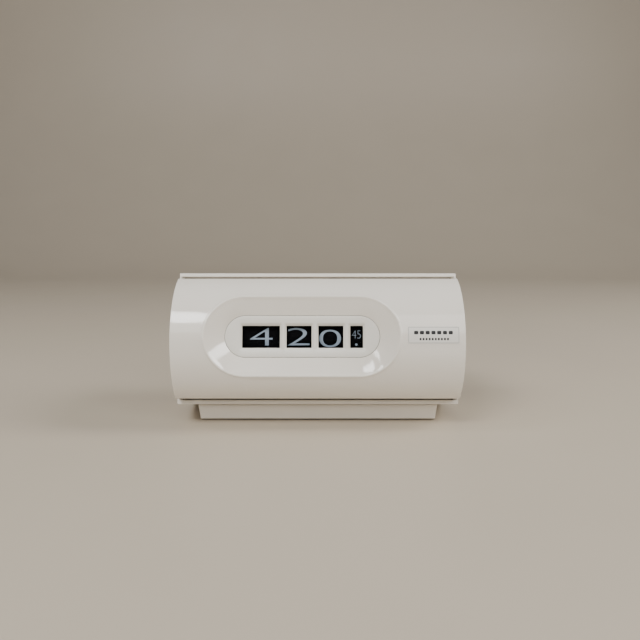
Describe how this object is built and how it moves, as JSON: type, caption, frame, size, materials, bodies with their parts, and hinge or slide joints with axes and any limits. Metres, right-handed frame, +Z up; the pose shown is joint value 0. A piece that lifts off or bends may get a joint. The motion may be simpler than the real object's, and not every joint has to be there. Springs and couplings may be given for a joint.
{
  "type": "rolling drum number clock",
  "caption": "Desk clock showing the time on rolling numeral drums behind windows in a barrel-curved front, tilted back on a wedge pedestal.",
  "frame": {"origin": "centre of the clock's footprint, on the surface it stands on", "axes": "+X along the clock's width to the viewer's right, +Y towards its back, +Z up"},
  "size_m": [0.1766, 0.0904, 0.0942],
  "materials": {
    "shell": "glossy warm white moulded plastic",
    "panel": "satin warm white moulded plastic",
    "plate": "satin plate with plain raised bars",
    "lens": "clear flat window",
    "rubber": "matt black rubber",
    "drum": "matt black with pale grey-blue numerals",
    "gear": "natural nylon",
    "steel": "plain steel",
    "cell": "plain wrapped battery with no lettering",
    "brass": "plain brass",
    "board": "green circuit board",
    "black": "satin black plastic",
    "wire_red": "red wire insulation"
  },
  "bodies": {
    "case": {"front_shell": "shell", "rear_case": "shell", "back_cover": "shell", "pedestal": "shell", "face_panel": "panel", "nameplate": "plate", "window_lens": "lens", "front_foot_left": "rubber", "front_foot_right": "rubber", "rear_foot_left": "rubber", "rear_foot_right": "rubber", "cover_screw_1": "steel", "cover_screw_2": "steel", "cover_screw_3": "steel", "cover_screw_4": "steel", "drum_shaft": "steel", "shaft_clip_left": "steel", "shaft_clip_right": "steel", "transfer_shaft": "steel", "idler_arbor": "steel", "motor_case": "steel", "frame_plate_left": "steel", "frame_plate_right": "steel", "gear_plate": "steel", "contact_spring": "steel", "battery_cell": "cell", "frame_pillar_1": "brass", "frame_pillar_2": "brass", "frame_pillar_3": "brass", "gear_pillar_1": "brass", "gear_pillar_2": "brass", "board_spacer_1": "brass", "board_spacer_2": "brass", "contact_plate": "brass", "circuit_board": "board", "motor_end_cap": "black", "battery_holder": "black", "circuit_chip": "black", "circuit_capacitor": "black", "wire_negative": "black", "wire_positive": "wire_red"},
    "hours_drum": {"hours_drum": "drum", "hours_ring_gear": "drum"},
    "tens_drum": {"tens_drum": "drum", "tens_ring_gear": "drum"},
    "minutes_drum": {"minutes_drum": "drum", "minutes_ring_gear": "drum"},
    "seconds_drum": {"seconds_drum": "drum", "seconds_gear": "drum"},
    "hours_pinion": {"hours_pinion": "gear"},
    "tens_pinion": {"tens_pinion": "gear"},
    "minutes_pinion": {"minutes_pinion": "gear"},
    "setting_shaft": {"setting_shaft": "steel", "setting_pinion": "gear", "setting_wheel": "black"},
    "idler_gear": {"idler_gear": "gear"},
    "motor_shaft": {"motor_shaft": "steel", "drive_pinion": "brass"},
    "battery_door": {"battery_door": "shell"}
  },
  "joints": [
    {"name": "minutes_turn", "type": "hinge", "parent": "case", "child": "minutes_drum", "pos_m": [0, -0.00496, 0.05154], "axis": [1, 0, 0], "continuous": true},
    {"name": "hours_turn", "type": "hinge", "parent": "case", "child": "hours_drum", "pos_m": [0, -0.00496, 0.05154], "axis": [1, 0, 0], "continuous": true},
    {"name": "tens_turn", "type": "hinge", "parent": "case", "child": "tens_drum", "pos_m": [0, -0.00496, 0.05154], "axis": [1, 0, 0], "continuous": true},
    {"name": "seconds_turn", "type": "hinge", "parent": "case", "child": "seconds_drum", "pos_m": [0, -0.00496, 0.05154], "axis": [1, 0, 0], "continuous": true},
    {"name": "hours_pinion_turn", "type": "hinge", "parent": "case", "child": "hours_pinion", "pos_m": [0, -0.00301, 0.02561], "axis": [1, 0, 0], "continuous": true},
    {"name": "tens_pinion_turn", "type": "hinge", "parent": "case", "child": "tens_pinion", "pos_m": [0, -0.00301, 0.02561], "axis": [1, 0, 0], "continuous": true},
    {"name": "minutes_pinion_turn", "type": "hinge", "parent": "case", "child": "minutes_pinion", "pos_m": [0, -0.00301, 0.02561], "axis": [1, 0, 0], "continuous": true},
    {"name": "setting_turn", "type": "hinge", "parent": "case", "child": "setting_shaft", "pos_m": [0, 0.02031, 0.04538], "axis": [1, 0, 0], "continuous": true},
    {"name": "idler_turn", "type": "hinge", "parent": "case", "child": "idler_gear", "pos_m": [0, 0.02465, 0.06368], "axis": [1, 0, 0], "continuous": true},
    {"name": "motor_turn", "type": "hinge", "parent": "case", "child": "motor_shaft", "pos_m": [0, 0.01308, 0.07473], "axis": [1, 0, 0], "continuous": true},
    {"name": "battery_door_pull", "type": "slide", "parent": "case", "child": "battery_door", "axis": [0, 0.9715, -0.2368], "range_m": [0, 0.012]}
  ],
  "couplings": [
    {"joint": "seconds_turn", "follows": "minutes_turn", "ratio": 10},
    {"joint": "tens_turn", "follows": "minutes_turn", "ratio": 0.083333},
    {"joint": "hours_turn", "follows": "minutes_turn", "ratio": 0.013889},
    {"joint": "minutes_pinion_turn", "follows": "minutes_turn", "ratio": -5},
    {"joint": "tens_pinion_turn", "follows": "minutes_turn", "ratio": -0.41667},
    {"joint": "hours_pinion_turn", "follows": "minutes_turn", "ratio": -0.069444},
    {"joint": "setting_turn", "follows": "minutes_turn", "ratio": -5},
    {"joint": "idler_turn", "follows": "minutes_turn", "ratio": -16.667},
    {"joint": "motor_turn", "follows": "minutes_turn", "ratio": 50}
  ]
}
